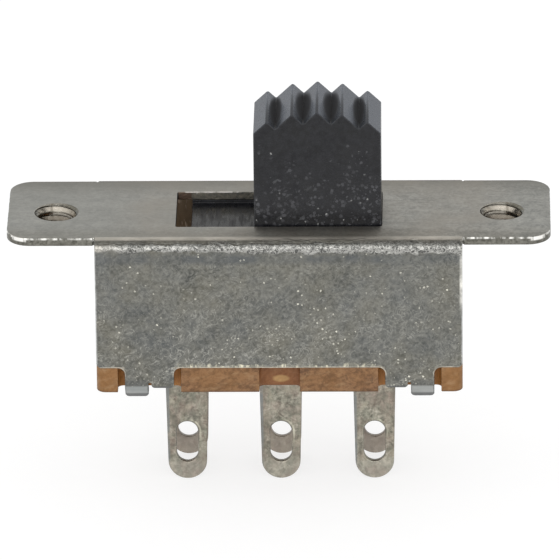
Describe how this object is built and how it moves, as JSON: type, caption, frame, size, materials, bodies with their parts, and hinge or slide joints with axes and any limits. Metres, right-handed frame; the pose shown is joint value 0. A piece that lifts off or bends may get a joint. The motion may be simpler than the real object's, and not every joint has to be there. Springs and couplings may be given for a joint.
{
  "type": "slide switch",
  "caption": "Panel slide switch: a ribbed black knob slides in a slotted, folded metal frame with tapped ears, over a laminated terminal board with solder lugs.",
  "frame": {"origin": "top face of the frame, midway between the two tapped ear holes", "axes": "+X along the knob's travel and the line of the ear holes, +Y across the switch, +Z out through the panel; the front row of lugs is on the -Y side"},
  "size_m": [0.0348, 0.0102, 0.0259],
  "materials": {
    "plated_steel": "dull nickel plate, fine brush lines on top, mottled on the walls",
    "fibre": "brown vulcanised fibre sheet",
    "laminate": "brown paper laminate with fibrous cut edges",
    "tinned_brass": "dull tin plate over brass",
    "black_moulding": "satin black moulding",
    "contact_copper": "bright rolled copper alloy",
    "spring_wire": "drawn spring wire"
  },
  "bodies": {
    "housing": {"frame": "plated_steel", "liner": "fibre", "terminal_board": "laminate", "lug_front_left": "tinned_brass", "lug_front_middle": "tinned_brass", "lug_front_right": "tinned_brass", "lug_rear_left": "tinned_brass", "lug_rear_middle": "tinned_brass", "lug_rear_right": "tinned_brass"},
    "actuator": {"slider": "black_moulding", "shoe_front": "contact_copper", "shoe_rear": "contact_copper", "spring_front": "spring_wire", "spring_rear": "spring_wire"}
  },
  "joints": [
    {"name": "knob_slide", "type": "slide", "parent": "housing", "child": "actuator", "axis": [1, 0, 0], "range_m": [-0.005, 0]}
  ]
}
